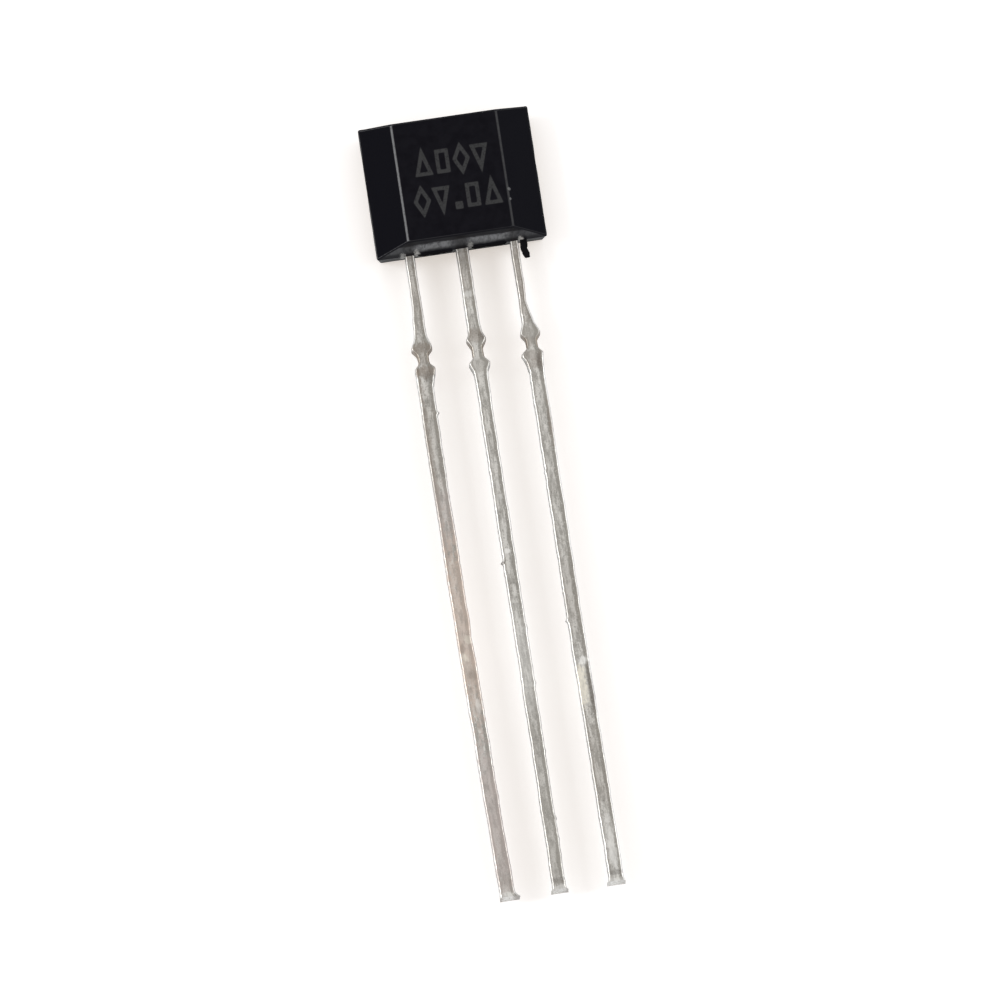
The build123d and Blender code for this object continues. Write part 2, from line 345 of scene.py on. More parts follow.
def spread(value, low, high, to_low=0.0, to_high=1.0):
    """A smooth step: value from low to high gives to_low to to_high."""
    sizes = {"Value": value, "From Min": low, "From Max": high, "To Min": to_low, "To Max": to_high}
    return add("MapRange", sizes, interpolation_type="SMOOTHSTEP").outputs[0]


def tint(share, under, over):
    """A colour laid over another by a share."""
    return add("Mix", {0: share, 6: under, 7: over}, data_type="RGBA").outputs[2]


def cloud(where, scale, detail=2.0, rough=0.5):
    """Soft random cloudiness round one half."""
    settings = {"Vector": where, "Scale": scale, "Detail": detail, "Roughness": rough}
    return add("TexNoise", settings).outputs[0]


def stretched(where, x, y, z):
    """A place with each direction multiplied."""
    return add("VectorMath", {0: where, 1: (x, y, z)}, operation="MULTIPLY").outputs[0]


def parts_of(vector):
    """A vector's three parts."""
    return add("SeparateXYZ", {0: vector}).outputs


def facing(tree):
    """Which way the surface faces: across, along and up."""
    return parts_of(add("NewGeometry", {}, tree).outputs["Normal"])


def mark(tree, name):
    """A value that each vertex of the piece carries."""
    return add("Attribute", {}, tree, attribute_name=name).outputs["Fac"]


def effect(name, takes, gives):
    """An empty node group with named sockets: what it takes, each with its usual value or None
    for a place, and what it gives, each with a value of its kind."""
    group = bpy.data.node_groups.new(name, "ShaderNodeTree")
    kinds = {type(None): "Vector", float: "Float", tuple: "Color"}
    for way, sockets in (("INPUT", takes), ("OUTPUT", gives)):
        for label, usual in sockets.items():
            kind = "NodeSocket" + kinds[type(usual)]
            socket = group.interface.new_socket(label, in_out=way, socket_type=kind)
            if usual is not None and way == "INPUT":
                socket.default_value = usual
    taken, given = group.nodes.new("NodeGroupInput"), group.nodes.new("NodeGroupOutput")
    return group, taken.outputs, given.inputs


def applied(group, inputs):
    """What an effect gives for these inputs."""
    return add("Group", inputs, node_tree=group).outputs


def finish(shader, colour, roughness, height, strength, depth):
    """The shader's colour and roughness, and its fine relief, of a depth in millimetres."""
    relief = add("Bump", {"Strength": strength, "Distance": depth * MM, "Height": height})
    links = shader.id_data.links
    links.new(colour, shader.inputs["Base Color"])
    links.new(roughness, shader.inputs["Roughness"])
    links.new(relief.outputs[0], shader.inputs["Normal"])


def new_material(name):
    """A material with a Principled shader, and the place on the piece in millimetres."""
    material = bpy.data.materials.new(name)
    material.use_nodes = True
    tree = material.node_tree
    shader = tree.nodes["Principled BSDF"]
    where = stretched(add("TexCoord", {}, tree).outputs["Object"], 1000, 1000, 1000)
    return material, tree, shader, where


def cover(piece, material):
    """The piece wears this one material."""
    piece.data.materials.clear()
    piece.data.materials.append(material)


# Fine grain of a moulded or plated skin: a fine and a coarser cloudiness, added
tree, taken, given = effect("fine grain", {"Place": None, "Size": 0.03},
                            {"Height": 0.0, "Tone": 0.0})
fine_grain = tree
frequency = maths("DIVIDE", 1.0, taken["Size"])
small = cloud(taken["Place"], frequency, 2.0, 0.6)
large = cloud(taken["Place"], times(frequency, 0.11), 3.0, 0.55)
tree.links.new(times_plus(large, 0.6, small), given["Height"])
tree.links.new(large, given["Tone"])

# Wear on an edge: the edge's own share, broken up by a fine cloudiness
tree, taken, given = effect("edge wear", {"Place": None, "Edge": 0.0, "Size": 0.08,
                                          "Amount": 0.5}, {"Worn": 0.0})
edge_wear = tree
broken = cloud(taken["Place"], maths("DIVIDE", 1.0, taken["Size"]), 4.0, 0.65)
chance = times(broken, taken["Edge"])
limit = maths("SUBTRACT", 0.75, times(taken["Amount"], 0.6))
tree.links.new(spread(chance, limit, maths("ADD", limit, 0.15)), given["Worn"])


def off_middle(taken, upright):
    """How far a place is from a middle, across and upright, as shares of the half sizes."""
    offset = add("VectorMath", {0: taken["Place"], 1: taken["Middle"]}, operation="SUBTRACT")
    apart = parts_of(offset.outputs[0])
    return (maths("DIVIDE", apart[0], taken["Half width"]),
            maths("DIVIDE", apart[1], taken[upright]))


# The line of a plain figure with straight sides: how far a place is from the nearest side and the
# ones on either hand of it, each measured square to the side, and the largest of the three
tree, taken, given = effect("plain figure", {
    "Place": None, "Middle": None, "Half width": 0.2, "Half height": 0.2, "Sides": 4.0,
    "Turn": 0.0, "Line": 0.1, "Filled": 0.0}, {"Drawn": 0.0})
figure = tree
px, py = off_middle(taken, "Half height")
sector = maths("DIVIDE", 2 * math.pi, taken["Sides"])
heading = maths("ADD", maths("ARCTAN2", px, py), taken["Turn"])
own_side = maths("ROUND", maths("DIVIDE", heading, sector))
beyond = -9.0
for neighbour in (-1, 0, 1):
    towards = times(maths("ADD", own_side, neighbour), sector)
    towards = maths("SUBTRACT", towards, taken["Turn"])
    sine, cosine = maths("SINE", towards), maths("COSINE", towards)
    square = times_plus(px, sine, times_plus(py, cosine, -1.0))
    sine = maths("DIVIDE", sine, taken["Half width"])
    cosine = maths("DIVIDE", cosine, taken["Half height"])
    steep = maths("SQRT", times_plus(sine, sine, times(cosine, cosine)))
    beyond = maths("SMOOTH_MAX", beyond, maths("DIVIDE", square, steep), 0.05)
inside = maths("MAXIMUM", times(beyond, -1.0), 0.0)
hollow = times(inside, maths("SUBTRACT", 1.0, taken["Filled"]))
gap = maths("ADD", maths("MAXIMUM", beyond, 0.0), hollow)
half_line = times(taken["Line"], 0.5)
fades = [maths("ADD", half_line, step) for step in (-0.010, 0.014)]
tree.links.new(spread(gap, *fades, 1.0, 0.0), given["Drawn"])

# A spot or a stain: an oval round its middle, its outline broken by cloudiness
tree, taken, given = effect("stain", {"Place": None, "Middle": None, "Half width": 0.1,
                                      "Half length": 0.5}, {"Share": 0.0})
stain = tree
sx, sy = off_middle(taken, "Half length")
far = maths("SQRT", times_plus(sx, sx, times(sy, sy)))
broken = cloud(stretched(taken["Place"], 14, 7, 14), 1.0, 4.0, 0.65)
far = maths("ADD", far, times(maths("SUBTRACT", broken, 0.5), 2.2))
tree.links.new(spread(far, 0.55, 1.30, 1.0, 0.0), given["Share"])

# Plain figures, burnt into the marked face by a laser in two rows: middle, half sizes, sides,
# turn, and whether it's filled
pointing_up, on_edge = math.pi, math.pi / 4
etched = [
    ((-0.63, 0.30), 0.090, 0.17, 3, pointing_up, 0), ((-0.17, 0.38), 0.115, 0.245, 4, 0, 0),
    ((0.27, 0.38), 0.112, 0.215, 4, on_edge, 0), ((0.71, 0.46), 0.090, 0.17, 3, 0, 0),
    ((-0.77, -0.51), 0.112, 0.215, 4, on_edge, 0), ((-0.31, -0.43), 0.090, 0.17, 3, 0, 0),
    ((0.07, -0.72), 0.045, 0.045, 4, 0, 1), ((0.42, -0.51), 0.115, 0.245, 4, 0, 0),
    ((0.88, -0.59), 0.090, 0.17, 3, pointing_up, 0),
]

compound, tree, shader, where = new_material("black moulding compound")
place, turned = parts_of(where), facing(tree)
arris_share, flash_share, snapped_share = (
    mark(tree, label) for label in ("arris", "flash", "snapped"))
grain = applied(fine_grain, {"Place": where, "Size": 0.028})
worn = applied(edge_wear, {"Place": where, "Edge": arris_share, "Size": 0.07, "Amount": 0.75})[0]
drawn = 0.0
for middle, half_width, half_height, sides, turn, filled in etched:
    one = applied(figure, {"Place": where, "Middle": (*middle, 0), "Half width": half_width,
                           "Half height": half_height, "Sides": sides, "Turn": turn,
                           "Line": 0.085, "Filled": filled})[0]
    drawn = maths("MAXIMUM", drawn, one)
on_face = spread(place[2], body_top - 0.01, body_top - 0.002)
patchy = spread(cloud(where, 24.0, 3.0, 0.7), 0.30, 0.52, 0.45, 1.0)
burnt = times(times(drawn, on_face), patchy)
tone = spread(grain["Tone"], 0.3, 0.7)
colour = tint(tone, (0.0038, 0.0034, 0.0055, 1), (0.0062, 0.0058, 0.0085, 1))

# Specks of filler, painted shade on the slanting sides, rubbed edges with a painted highlight
# strongest on the left long edge, worn edges, flash, the gate's broken end, and the burnt figures
specks = spread(cloud(where, 60.0, 1.0), 0.70, 0.78, 0.0, 0.30)
# Painted shade: the slanting sides, which face across, are coloured darker
sides_painted_shade = spread(maths("ABSOLUTE", turned[0]), 0.5, 0.65)
# Breaks the edges' rubbing and painted highlight into patches
rub_and_highlight_patches = spread(cloud(where, 5.0, 3.0, 0.7), 0.3, 0.7, 0.75, 1.0)
fractured = spread(cloud(where, 11.0, 5.0, 0.7), 0.35, 0.65, 0.4, 1.0)
for share, shade in (
        (specks, (0.022, 0.022, 0.024, 1)),
        (sides_painted_shade, (0.0010, 0.0008, 0.0032, 1)),
        (times(arris_share, rub_and_highlight_patches), (0.056, 0.056, 0.059, 1)),
        (times(worn, 0.5), (0.22, 0.22, 0.23, 1)),
        (times(flash_share, 0.4), (0.006, 0.005, 0.004, 1)),
        (times(snapped_share, fractured), (0.040, 0.040, 0.042, 1)),
        (burnt, (0.043, 0.043, 0.044, 1))):
    colour = tint(share, colour, shade)

# Two chips on the right long edge of the marked face: place along, and size
for spot_y, spot_size in ((-0.50, 0.036), (-0.74, 0.028)):
    chipped = applied(stain, {"Place": where, "Middle": (1.265, spot_y, body_top - 0.02),
                              "Half width": spot_size, "Half length": spot_size})[0]
    near_top = spread(place[2], body_top - 0.25, body_top - 0.15, 0.0, 0.8)
    colour = tint(times(chipped, near_top), colour, (0.15, 0.15, 0.15, 1))

# A pale, streaky band painted across the lead-exit end, faint at the middle lead and at the corners
ragged = cloud(stretched(where, 3.0, 3.0, 6.0), 1.0, 5.0, 0.65)
streaky = cloud(stretched(where, 16.0, 16.0, 3.0), 1.0, 4.0, 0.65)
from_gap = maths("SUBTRACT", maths("ABSOLUTE", place[0]), 0.64)
from_gap = times_plus(ragged, 0.5, maths("ABSOLUTE", from_gap))
above = times_plus(ragged, 0.25, maths("SUBTRACT", place[2], parting))
pale_end_band = spread(from_gap, 0.78, 0.52, 0.3, 1.0)
for limits in ((turned[1], -0.6, -0.9), (above, 0.72, 0.60), (above, 0.20, 0.44),
               (streaky, 0.30, 0.60, 0.45, 1.0)):
    pale_end_band = times(pale_end_band, spread(*limits))
colour = tint(pale_end_band, colour, (0.22, 0.22, 0.225, 1))

# Pale spots painted on the same end, beside the leads' roots: place across, height above the
# parting plane, half width, half height and strength
on_end = add("CombineXYZ", {0: place[0], 1: place[2]}).outputs[0]
for across, height, half_width, half_height, strength in (
        (-1.06, -0.04, 0.065, 0.34, 0.80), (-1.40, -0.14, 0.075, 0.30, 0.80),
        (0.20, 0.0, 0.065, 0.34, 0.50), (1.39, -0.12, 0.07, 0.32, 0.95)):
    root_spot = applied(stain, {"Place": on_end, "Middle": (across, parting + height, 0),
                            "Half width": half_width, "Half length": half_height})[0]
    root_spot = times(root_spot, spread(turned[1], -0.6, -0.9, 0.0, strength))
    colour = tint(root_spot, colour, (0.52, 0.505, 0.48, 1))

sheen = spread(grain["Tone"], 0.25, 0.75, 0.36, 0.46)
sheen = times_plus(snapped_share, 0.3, sheen)
sheen = times_plus(burnt, 0.30, sheen)
relief = times_plus(burnt, -1.4, grain["Height"])
finish(shader, colour, sheen, relief, 0.35, 0.004)
gloss = spread(cloud(where, 9.0, 3.0, 0.6), 0.25, 0.6, 0.42, 0.86)
tree.links.new(times(arris_share, gloss), shader.inputs["Coat Weight"])
shader.inputs["Coat Roughness"].default_value = 0.38
shader.inputs["Specular IOR Level"].default_value = 0.05

cover(moulded_body, compound)
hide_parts("body")
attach(moulded_body, "root")

# ---- Leads ----
# Three legs punched from one strip of copper alloy, tin plated before they were cut apart. The
# punch rolled their upper edges over. Where the dam bar was cut out, each has two pairs of
# stubs with a waist between. The outer two carry a bond post and the middle one the die pad.

exit_y = -half_along
lead_length = exit_y - strip_low[1]
strip_bottom, strip_top = strip_low[2], strip_high[2]
pitch = float(np.mean([corner[0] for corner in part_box("lead_output")])) / MM
rolled_radius, lower_radius = 0.045, 0.012
post_half, lock_hole_radius, lock_hole_y = 0.38, 0.17, -0.40
waist_at, punched_reach, cut_reach = 2.47, 0.24, 0.42
edge_waves = ((0.35, 0.0045), (0.07, 0.0030))  # how long, and how far an edge wanders
shortest_dent = 0.1  # a shorter bump on an edge is a burr
burr_depth, burr_spread = 0.10, 0.11
tip_slant, tip_droop, crop_length = 0.045, 0.025, 0.05

# Points of a lead's section: across its upper and its lower face, and round its edges
columns, wall_points = 9, 3
roll_turns, under_turns = np.radians([72, 54, 36, 18, 0]), np.radians([0, -45, -90])

# Distance from the body, then half widths on the outer and on the inner side: of the supply
# lead and of the output lead, and below them of the middle lead
outer_outlines = [
    (-2.125, 0.38, 0.38, 0.38, 0.38), (-0.725, 0.38, 0.38, 0.38, 0.38),
    (-0.585, 0.080, 0.145, 0.045, 0.145), (1.45, 0.080, 0.145, 0.045, 0.145),
    (1.85, 0.145, 0.150, 0.125, 0.150), (1.98, 0.160, 0.160, 0.150, 0.160),
    (2.08, 0.200, 0.190, 0.190, 0.190), (2.15, 0.230, 0.220, 0.220, 0.220),
    (2.22, 0.250, 0.240, 0.240, 0.240), (2.26, 0.230, 0.220, 0.220, 0.220),
    (2.36, 0.145, 0.138, 0.140, 0.138), (2.44, 0.130, 0.130, 0.130, 0.130),
    (2.56, 0.130, 0.130, 0.130, 0.130), (2.61, 0.148, 0.148, 0.148, 0.148),
    (2.68, 0.225, 0.230, 0.220, 0.240), (2.72, 0.248, 0.250, 0.240, 0.265),
    (2.84, 0.240, 0.225, 0.230, 0.230), (2.95, 0.228, 0.190, 0.215, 0.190),
    (3.15, 0.225, 0.145, 0.200, 0.160), (15.12, 0.215, 0.140, 0.200, 0.155),
    (15.20, 0.218, 0.160, 0.205, 0.170), (15.28, 0.228, 0.215, 0.218, 0.208),
    (15.40, 0.230, 0.225, 0.220, 0.214)]
middle_outline = [
    (-2.445, 0.62, 0.62), (-0.955, 0.62, 0.62), (-0.815, 0.150, 0.150), (-0.597, 0.150, 0.150),
    (-0.595, 0.35, 0.35), (-0.375, 0.35, 0.35), (-0.373, 0.150, 0.150), (1.85, 0.150, 0.150),
    (2.02, 0.165, 0.165), (2.10, 0.195, 0.190), (2.18, 0.240, 0.232), (2.25, 0.205, 0.200),
    (2.36, 0.138, 0.138), (2.44, 0.130, 0.130), (2.60, 0.130, 0.130), (2.65, 0.152, 0.152),
    (2.71, 0.220, 0.216), (2.76, 0.262, 0.254), (2.84, 0.232, 0.224), (2.93, 0.180, 0.176),
    (3.10, 0.156, 0.156), (15.12, 0.160, 0.155), (15.22, 0.172, 0.167), (15.28, 0.200, 0.198),
    (15.40, 0.205, 0.202)]


def section_template():
    """The section of the strip, once round from its upper left: upper face, rolled right edge,
    right side, lower face, left side, rolled left edge. Each point has its share from the left
    edge's centre to the right one's, its radius, the cosine of its turn, and its height."""

    def run(share, radius, cosine, height):
        return np.stack(np.broadcast_arrays(share, radius, cosine, height), axis=-1)

    across = np.linspace(0, 1, columns)
    right_side = np.concatenate([
        run(1, rolled_radius, np.cos(roll_turns),
            strip_top - rolled_radius * (1 - np.sin(roll_turns))),
        run(1, lower_radius, 1, np.linspace(strip_top - rolled_radius,
                                            strip_bottom + lower_radius, wall_points + 2)[1:-1]),
        run(1, lower_radius, np.cos(under_turns),
            strip_bottom + lower_radius * (1 + np.sin(under_turns)))])
    left_side = right_side[-2::-1] * (0, 1, -1, 1)
    return np.concatenate([run(across, rolled_radius, 0, strip_top), right_side,
                           run(across[-2::-1], lower_radius, 0, strip_bottom), left_side]).T


def half_widths(distance, outline):
    """Both half widths along a lead: straight runs between the stations, each averaged over
    0.03 mm so that the corners are rounded."""
    at, *halves = outline.T
    steps = np.linspace(-0.015, 0.015, 7)
    return [np.mean([np.interp(distance + step, at, half) for step in steps], axis=0)
            for half in halves]


def stations(start, hole_y):
    """How far from the body a lead's rings are: closer over the dam bar's band and at the tip. A
    lock hole gets as many rings as the section has columns, and they are named too."""
    distance = np.concatenate([np.arange(start, 1.9, 0.045), np.arange(1.9, 3.2, 0.02),
                               np.arange(3.2, lead_length - 0.25, 0.03),
                               np.linspace(lead_length - 0.25, lead_length, 22)])
    if hole_y is None:
        return distance, None
    reach = post_half - rolled_radius
    at_hole = exit_y - hole_y + reach * np.linspace(-1, 1, columns)
    clear = np.abs(distance - (exit_y - hole_y)) > reach + 0.01
    distance = np.sort(np.concatenate([distance[clear], at_hole]))
    return distance, int(np.argmin(np.abs(distance - at_hole[0]))) + np.arange(columns)


def half_widths_worn(distance, outline, side, bumps, height, outside, rng):
    """Half widths to the left and to the right edge of every point. Outside the body the edges
    wander. bumps are burrs and dents: distance, side, height and length of a bell curve, and
    burrs stand only on the upper part of the side, by a second bell curve."""
    burr_level = np.exp(-(((height - strip_top + burr_depth) / burr_spread) ** 2))
    outer, inner = half_widths(distance, outline)
    edges = []
    for sign, half in zip((-1, 1), (outer, inner) if side < 0 else (inner, outer)):
        waves = sum(wander(distance, length, size, rng) for length, size in edge_waves)
        half = (half + outside * waves)[:, None] + 0 * height
        for at, which, size, length in bumps:
            if which == sign:
                level = burr_level if length < shortest_dent else 1.0
                half = half + size * np.exp(-(((distance[:, None] - at) / length) ** 2)) * level
        edges.append(half)
    return edges


def lock_hole(rings, rows, radius, centre_x, centre_y):
    """Opens a round hole in a lead's two faces, by a square's map to a disc. The points half way
    out go to the hole's rim, along their own heading, and from there on each goes back in
    proportion to its own place at the square's edge. Gives the quads inside the rims, which are
    left out, and the wall between the rims."""
    around = rings.shape[1]
    upper = np.arange(columns)
    lower_right = columns + len(roll_turns) + wall_points + len(under_turns) - 1
    lower = lower_right + (columns - 1 - upper)
    unit = np.linspace(-1, 1, columns)
    p, q = np.meshgrid(unit, -unit)
    length = np.maximum(np.hypot(p, q), 1e-9)
    back = np.clip((np.maximum(np.abs(p), np.abs(q)) - 0.5) / 0.5, 0, 1)
    for picked in (upper, lower):
        half = post_half - radius[picked[0]]
        for axis, part, middle in ((0, p, centre_x), (1, q, centre_y)):
            moved = (1 - back) * lock_hole_radius * part / length + back * half * part
            rings[rows[:, None], picked[None, :], axis] = middle + moved
    rim_low = columns // 4
    rim_high = columns - 1 - rim_low
    inside = np.arange(rim_low, rim_high)
    left_out = np.zeros((len(rings) - 1, around), bool)
    left_out[np.ix_(rows[inside], upper[inside])] = True
    left_out[np.ix_(rows[inside], lower[inside] - 1)] = True
    low, high = np.full(len(inside), rim_low), np.full(len(inside), rim_high)
    row = rows[np.concatenate([low, inside, high, inside[::-1] + 1])]
    column = np.concatenate([inside, high, inside[::-1] + 1, low])
    above, below = row * around + upper[column], row * around + lower[column]
    return left_out, np.stack([above, np.roll(above, -1), np.roll(below, -1), below], axis=-1)


def lead_shell(outline, side, bends, bumps, seed, hole_y):
    """A lead: the strip's section carried along Y between its left and right edges, x = centre
    line - left half + share of both halves + radius cos(turn). bends are how far its centre line
    strays at each distance. At the tip the crop dragged the upper edge back and down. Also gives
    each point's place across, and how rolled and how freshly cut it is."""
    rng = np.random.default_rng(seed)
    share, radius, cosine, height = section_template()
    distance, rows = stations(outline[0, 0], hole_y)
    outside = np.clip((distance - 0.1) / 0.3, 0, 1)
    left, right = half_widths_worn(distance, outline, side, bumps, height, outside, rng)
    centre = side * pitch + np.interp(distance, *np.array(bends).T)[:, None]
    ending = np.clip((distance - lead_length + crop_length) / crop_length, 0, 1)[:, None]
    through = (height - strip_bottom) / (strip_top - strip_bottom)
    x = centre - (left - radius) + share * (left + right - 2 * radius) + radius * cosine
    y = exit_y - distance[:, None] + ending * tip_slant * through
    z = height - ending ** 2 * tip_droop * through
    z = z + outside[:, None] * wander(distance, 0.5, 0.003, rng)[:, None]
    rings = np.stack(np.broadcast_arrays(x, y, z), axis=-1)
    if hole_y is None:
        points, faces = shell(rings)
    else:
        left_out, wall = lock_hole(rings, rows, radius, side * pitch, hole_y)
        points, faces = shell(rings, left_out)
        joined = {tuple(face[i:i + 2]) for face in faces for i in range(len(face) - 1)}
        turned = (wall[0][0], wall[0][1]) in joined
        faces += (wall[:, ::-1] if turned else wall).tolist()
    used = np.unique(np.concatenate([np.ravel(face) for face in faces]))
    renumbered = np.zeros(len(points), int)
    renumbered[used] = np.arange(len(used))
    faces = [renumbered[face].tolist() for face in faces]

    from_waist = np.abs(distance - waist_at)[:, None]
    punched = np.clip((punched_reach - from_waist) / 0.12, 0, 1)
    rolled = (1 - punched) * ((radius == rolled_radius) & (np.abs(cosine) > 0.1))
    cut = np.clip(1.2 - from_waist / cut_reach, 0, 1) * (np.abs(cosine) > 0.5)
    marks = {"across": np.broadcast_to(2 * share - 1, rings.shape[:2]),
             "rolled": rolled * (1 - ending), "cut": np.maximum(cut, 0.5 * ending ** 3)}
    return (points[used], faces), {name: values.ravel()[used] for name, values in marks.items()}


# The plating's look: streaks from rolling the strip, fine mottling, and painted shade in darker
# bands beside both edges, the right one broader, that wander in and out along the lead
tree, taken, given = effect("tin plating", {
    "Place": None, "Across": 0.0, "Rolled": 0.0, "Light": (0.6, 0.6, 0.6, 1),
    "Dark": (0.3, 0.3, 0.3, 1)}, {"Colour": (0.5, 0.5, 0.5, 1), "Roughness": 0.4, "Height": 0.0})
plating = tree
streaks = cloud(stretched(taken["Place"], 20, 2.2, 8), 1.0, 4.0, 0.65)
mottle = cloud(stretched(taken["Place"], 9, 4.0, 6), 1.0, 4.0, 0.65)
pits = cloud(stretched(taken["Place"], 38, 26, 30), 1.0, 2.0, 0.5)
drift = cloud(stretched(taken["Place"], 2.0, 1.6, 2.0), 1.0, 4.0, 0.6)
# Painted shade along both edges of the lead's upper face
right_edge_painted_shade = times_plus(drift, 1.5, maths("ADD", taken["Across"], -0.75))
right_edge_painted_shade = spread(right_edge_painted_shade, 0.25, 0.60, 0.0, 0.9)
left_edge_painted_shade = maths("SUBTRACT", -0.6, taken["Across"])
left_edge_painted_shade = times_plus(mottle, 1.2, left_edge_painted_shade)
left_edge_painted_shade = spread(left_edge_painted_shade, 0.70, 0.95, 0.0, 0.8)
share = times_plus(streaks, 0.6, times(mottle, 0.7))
share = spread(times_plus(drift, 0.6, share), 0.80, 1.10, -0.15, 0.75)
share = maths("SUBTRACT", 0.6, share)
share = maths("MAXIMUM", share, maths("MAXIMUM", right_edge_painted_shade, left_edge_painted_shade))
plain = tint(share, taken["Light"], taken["Dark"])
plain = tint(spread(pits, 0.58, 0.70, 0.0, 0.55), plain, (0.16, 0.145, 0.13, 1))
plain = tint(spread(pits, 0.40, 0.28, 0.0, 0.6), plain, (0.84, 0.82, 0.77, 1))
# Rolled edges painted lighter: partly burnish from the punch, partly a painted highlight
rolled = times(taken["Rolled"], 0.9)
rolled_edge_burnish_and_highlight = tint(rolled, plain, (0.88, 0.87, 0.85, 1))
tree.links.new(rolled_edge_burnish_and_highlight, given["Colour"])
tree.links.new(spread(mottle, 0.3, 0.7, 0.30, 0.46), given["Roughness"])
height = times_plus(streaks, 1.0, times(pits, 0.5))
height = times_plus(mottle, 0.8, height)
tree.links.new(height, given["Height"])


def tinned(name, stains):
    """Tin plating with its own stains: place across the lead, distance from the body, half
    width, half length, colour and strength."""
    material, tree, shader, where = new_material(name)
    across, rolled, cut = (mark(tree, label) for label in ("across", "rolled", "cut"))
    skin = applied(plating, {"Place": where, "Across": across, "Rolled": rolled,
                             "Light": (0.73, 0.705, 0.66, 1), "Dark": (0.34, 0.32, 0.285, 1)})
    colour = skin["Colour"]
    uneven = spread(skin["Height"], 0.85, 1.45, 0.55, 1.0)
    for x, distance, half_width, half_length, shade, strength in stains:
        share = applied(stain, {"Place": where, "Middle": (x, exit_y - distance, strip_top),
                                "Half width": half_width, "Half length": half_length})[0]
        share = times(times(share, uneven), strength)
        colour = tint(share, colour, shade)

    # The lower part of a punched side is torn and dull, and its upper part sheared smooth
    level = cloud(where, 5.0, 4.0, 0.6)
    level = times_plus(level, 0.12, parts_of(where)[2])
    torn = spread(level, strip_bottom + 0.22, strip_bottom + 0.19)
    upright = spread(maths("ABSOLUTE", facing(tree)[0]), 0.75, 0.92)
    torn = times(torn, upright)
    colour = tint(times(torn, 0.45), colour, (0.36, 0.335, 0.30, 1))

    # Bare alloy shows where the dam bar and the tip were cut
    worn = applied(edge_wear, {"Place": where, "Edge": cut, "Size": 0.05, "Amount": 0.9})[0]
    colour = tint(times(worn, 0.55), colour, (0.30, 0.22, 0.16, 1))
    roughness = times_plus(worn, 0.12, skin["Roughness"])
    roughness = times_plus(torn, 0.14, roughness)
    finish(shader, colour, roughness, skin["Height"], 0.45, 0.006)
    shader.inputs["Metallic"].default_value = 1.0
    return material


bright, white_tin, cream = (0.86, 0.84, 0.80, 1), (1.0, 0.98, 0.94, 1), (0.98, 0.92, 0.79, 1)
brown, dark_brown, pink = (0.27, 0.22, 0.18, 1), (0.10, 0.08, 0.07, 1), (0.66, 0.525, 0.44, 1)
mauve, warm_grey = (0.53, 0.455, 0.425, 1), (0.40, 0.375, 0.335, 1)

